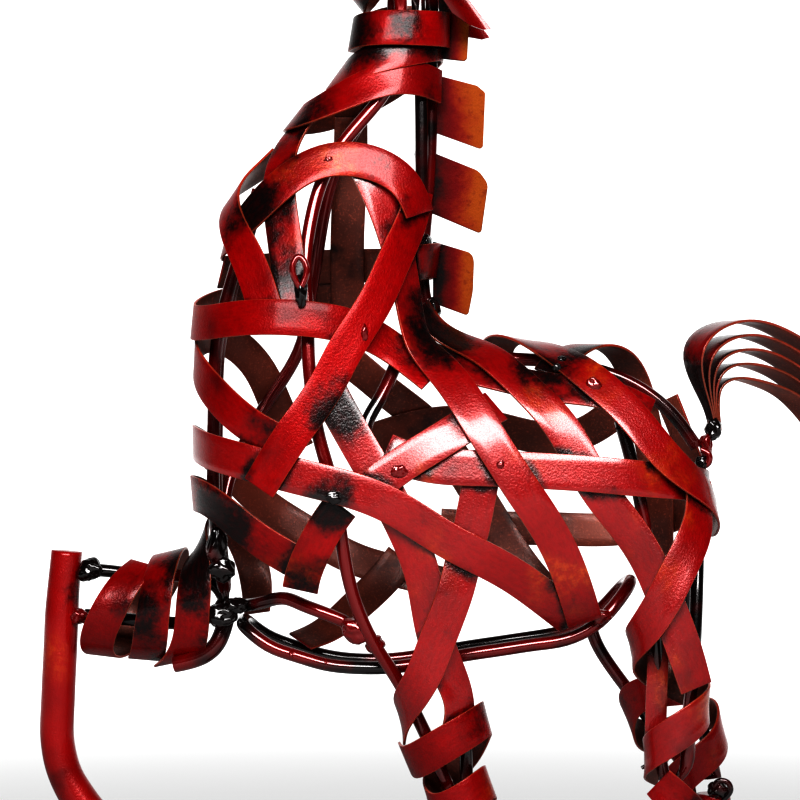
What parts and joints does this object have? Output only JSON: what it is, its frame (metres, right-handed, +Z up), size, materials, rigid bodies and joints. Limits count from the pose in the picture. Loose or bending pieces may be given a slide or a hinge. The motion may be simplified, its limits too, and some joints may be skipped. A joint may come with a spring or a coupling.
{
  "type": "woven steel strip horse sculpture",
  "caption": "Standing horse sculpture woven from flat steel strips over a welded rod frame, one foreleg raised, on a thin base plate.",
  "frame": {"origin": "middle of the overall box at the underside of the base plate", "axes": "+Z up, horse faces -X, its near side is -Y"},
  "size_m": [0.2388, 0.076, 0.335],
  "materials": {
    "strap_finish": "glossy candy red lacquer on flat steel strip, shaded black at the joints, brown-bronze on the inner face",
    "dark_strap_finish": "dark red to brown-bronze satin lacquer on flat steel strip",
    "tail_finish": "very dark red glossy lacquer, lighter red-brown towards the ends",
    "rod_finish": "black to dark red glossy lacquer on round steel rod",
    "leg_finish": "glossy red lacquer on round steel tube",
    "mane_finish": "mottled orange satin lacquer fading to dark red and black at the welded edge",
    "base_finish": "black satin lacquer on steel plate"
  },
  "bodies": {
    "root": {"arm_rod": "rod_finish", "arm_shoulder_wrap": "strap_finish", "arm_wrap": "strap_finish", "base_plate": "base_finish", "belly_rod": "rod_finish", "belly_strut_rod": "rod_finish", "breast_low_strap": "strap_finish", "breast_strap": "strap_finish", "brow_band": "strap_finish", "cheek_strap": "strap_finish", "chest_band": "strap_finish", "chest_rod": "rod_finish", "collar_band": "strap_finish", "crest_rod": "rod_finish", "croup_strap": "strap_finish", "elbow_strap": "strap_finish", "far_belly_strap": "dark_strap_finish", "far_ear": "dark_strap_finish", "far_flank_strap": "dark_strap_finish", "far_hind_leg_rod": "rod_finish", "far_hind_lower_leg": "leg_finish", "far_leg_wrap": "dark_strap_finish", "far_neck_band": "dark_strap_finish", "far_neck_upright": "dark_strap_finish", "far_side_band": "dark_strap_finish", "fore_leg_rod": "rod_finish", "fore_leg_wrap": "strap_finish", "fore_lower_leg": "leg_finish", "fore_strap": "strap_finish", "fore_wrap_strap": "strap_finish", "girth_strap": "strap_finish", "hind_leg_rod": "rod_finish", "hind_leg_wrap": "strap_finish", "hind_lower_leg": "leg_finish", "hip_strap": "strap_finish", "long_flank_strap": "strap_finish", "mane_plate_1": "mane_finish", "mane_plate_2": "mane_finish", "mane_plate_3": "mane_finish", "mane_plate_4": "mane_finish", "muzzle_band": "strap_finish", "near_ear": "dark_strap_finish", "neck_arch_strap": "strap_finish", "neck_front_strap": "strap_finish", "neck_rod": "rod_finish", "neck_upright": "strap_finish", "nose_strap": "strap_finish", "raised_lower_leg": "leg_finish", "rib_strap": "strap_finish", "ridge_strap": "strap_finish", "rump_strap": "strap_finish", "shoulder_strap": "strap_finish", "side_band": "strap_finish", "tail_strap_1": "tail_finish", "tail_strap_2": "tail_finish", "tail_strap_3": "tail_finish", "tail_strap_4": "tail_finish", "tail_strap_5": "tail_finish", "thigh_strap": "strap_finish", "throat_strap": "strap_finish"}
  },
  "joints": []
}
